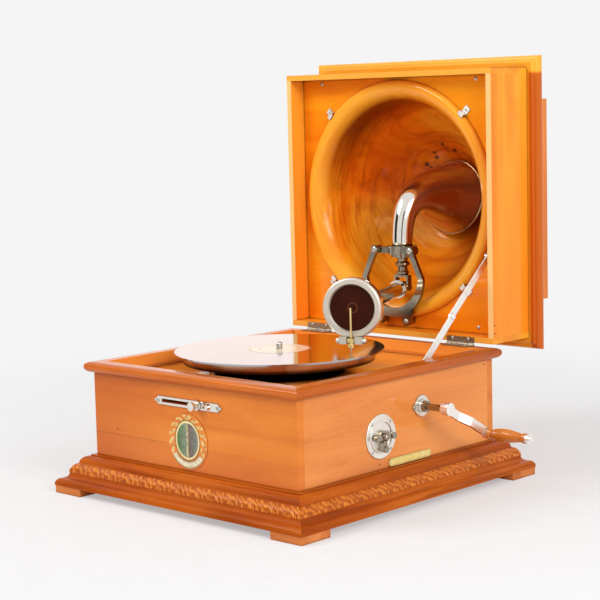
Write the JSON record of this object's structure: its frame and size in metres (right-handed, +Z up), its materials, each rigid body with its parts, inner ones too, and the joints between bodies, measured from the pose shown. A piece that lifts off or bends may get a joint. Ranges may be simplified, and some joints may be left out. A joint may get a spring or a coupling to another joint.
{
  "type": "table gramophone",
  "caption": "Table gramophone with a carved plinth case, spring motor, turntable, and a hinged lid that carries a turned sound bowl, horn elbow and tone arm.",
  "frame": {"origin": "on the table, under the middle of the case", "axes": "+X to the right seen from the front, -Y to the front, +Z up"},
  "size_m": [0.4763, 0.5623, 0.5085],
  "materials": {
    "case_wood": "warm orange-brown French polish",
    "plinth_wood": "darker red-brown polish",
    "lid_wood": "bright honey polish",
    "bowl_wood": "glossy turned and polished wood",
    "handle_wood": "turned and varnished",
    "nickel": "polished nickel plate",
    "ring_metal": "satin pale metal",
    "steel": "machined",
    "brass": "bright brass",
    "medallion": "varnished transfer, green and gold",
    "felt": "felt",
    "shellac": "glossy grooved shellac",
    "diaphragm": "dark maroon"
  },
  "bodies": {
    "case": {"front_board": "case_wood", "back_board": "case_wood", "left_board": "case_wood", "right_board": "case_wood", "bottom_board": "plinth_wood", "plinth_moulding": "plinth_wood", "rim_moulding": "case_wood", "feet": "plinth_wood", "corner_posts": "plinth_wood", "motor_board": "case_wood", "hinge_case_leaves": "nickel", "slot_plate": "nickel", "regulator_plate": "nickel", "crank_escutcheon": "nickel", "name_plate": "brass", "front_medallion": "medallion", "case_screws": "steel", "motor_top_plate": "steel", "motor_base_plate": "steel", "motor_pillars": "steel"},
    "turntable": {"platter": "nickel", "felt_mat": "felt", "record": "shellac", "spindle": "steel"},
    "barrel": {"spring_barrel": "steel", "mainspring": "steel"},
    "arbor": {"winding_arbor": "steel"},
    "train": {"intermediate_wheel": "brass"},
    "governor": {"governor_shaft": "steel", "governor_weights": "brass"},
    "stop": {"stop_knob": "nickel"},
    "brake": {"brake_lever": "steel"},
    "regulator": {"regulator_handle": "nickel"},
    "crank": {"crank_shaft": "nickel", "crank_arm": "nickel"},
    "crank_grip": {"crank_handle": "handle_wood"},
    "lid": {"lid_top_board": "lid_wood", "lid_bottom_board": "lid_wood", "lid_left_board": "lid_wood", "lid_right_board": "lid_wood", "sound_panel": "bowl_wood", "sound_bowl": "bowl_wood", "bowl_clips": "nickel", "lid_moulding": "lid_wood", "lid_block": "lid_wood", "hinge_lid_leaves": "nickel", "arm_bracket": "nickel", "crossbar": "nickel", "lid_screws": "steel", "horn_elbow": "nickel"},
    "stay_low": {"stay_lower": "nickel"},
    "stay_high": {"stay_upper": "nickel"},
    "swivel": {"arm_swivel": "nickel"},
    "knuckle": {"arm_knuckle": "nickel"},
    "arm": {"arm_tube": "nickel"},
    "soundbox": {"soundbox_body": "nickel", "soundbox_ring": "ring_metal", "diaphragm": "diaphragm", "stylus_bar": "brass", "needle": "steel"}
  },
  "joints": [
    {"name": "turntable_spin", "type": "hinge", "parent": "case", "child": "turntable", "pos_m": [0, -0.0256, 0.15], "axis": [0, 0, 1], "continuous": true},
    {"name": "barrel_turn", "type": "hinge", "parent": "case", "child": "barrel", "pos_m": [0.06, 0.0358, 0.07], "axis": [0, 0, 1], "continuous": true},
    {"name": "train_turn", "type": "hinge", "parent": "case", "child": "train", "pos_m": [0.02897, 0.00404, 0.087], "axis": [0, 0, 1], "continuous": true},
    {"name": "governor_spin", "type": "hinge", "parent": "case", "child": "governor", "pos_m": [0, -0.052, 0.1095], "axis": [1, 0, 0], "continuous": true},
    {"name": "crank_turn", "type": "hinge", "parent": "case", "child": "crank", "pos_m": [0.165, 0.0358, 0.107], "axis": [1, 0, 0], "continuous": true},
    {"name": "arbor_turn", "type": "hinge", "parent": "case", "child": "arbor", "pos_m": [0.06, 0.0358, 0.09], "axis": [0, 0, 1], "continuous": true},
    {"name": "grip_spin", "type": "hinge", "parent": "crank", "child": "crank_grip", "pos_m": [0.24, 0.09956, 0.07004], "axis": [1, 0, 0], "continuous": true},
    {"name": "stop_slide", "type": "slide", "parent": "case", "child": "stop", "axis": [-1, 0, 0], "range_m": [0, 0.055]},
    {"name": "brake_turn", "type": "hinge", "parent": "case", "child": "brake", "pos_m": [0.045, -0.133, 0.128], "axis": [0, 0, 1], "range_deg": [0, 2.81]},
    {"name": "regulator_turn", "type": "hinge", "parent": "case", "child": "regulator", "pos_m": [0.165, -0.0375, 0.083], "axis": [1, 0, 0], "range_deg": [-60, 60]},
    {"name": "lid_hinge", "type": "hinge", "parent": "case", "child": "lid", "pos_m": [0, 0.1743, 0.1584], "axis": [1, 0, 0], "range_deg": [0, 35]},
    {"name": "stay_low_turn", "type": "hinge", "parent": "case", "child": "stay_low", "pos_m": [0.15, 0.058, 0.15], "axis": [1, 0, 0], "range_deg": [0, 67.7]},
    {"name": "stay_high_turn", "type": "hinge", "parent": "lid", "child": "stay_high", "pos_m": [0.149, 0.192, 0.266], "axis": [1, 0, 0], "range_deg": [-55.5, 0]},
    {"name": "arm_swing", "type": "hinge", "parent": "lid", "child": "swivel", "pos_m": [0, 0.208, 0.267], "axis": [0, 0, 1], "range_deg": [-12, 12]},
    {"name": "arm_level", "type": "hinge", "parent": "swivel", "child": "knuckle", "pos_m": [0, 0.208, 0.219], "axis": [1, 0, 0], "range_deg": [-35, 0]},
    {"name": "arm_lift", "type": "hinge", "parent": "knuckle", "child": "arm", "pos_m": [0.00686, 0.19245, 0.219], "axis": [-0.915, -0.4035, 0], "range_deg": [0, 9]},
    {"name": "soundbox_turn", "type": "hinge", "parent": "arm", "child": "soundbox", "pos_m": [0.08273, 0.02043, 0.219], "axis": [0.4035, -0.915, 0], "range_deg": [0, 180]}
  ],
  "couplings": [
    {"joint": "barrel_turn", "follows": "turntable_spin", "ratio": 0.023148},
    {"joint": "train_turn", "follows": "turntable_spin", "ratio": -0.13889},
    {"joint": "governor_spin", "follows": "turntable_spin", "ratio": 11},
    {"joint": "arbor_turn", "follows": "crank_turn", "ratio": 0.5},
    {"joint": "brake_turn", "follows": "stop_slide", "rad_per_m": 0.889},
    {"joint": "stay_low_turn", "follows": "lid_hinge", "ratio": 1.9333},
    {"joint": "stay_high_turn", "follows": "lid_hinge", "ratio": -1.5851},
    {"joint": "arm_level", "follows": "lid_hinge", "ratio": -1}
  ]
}
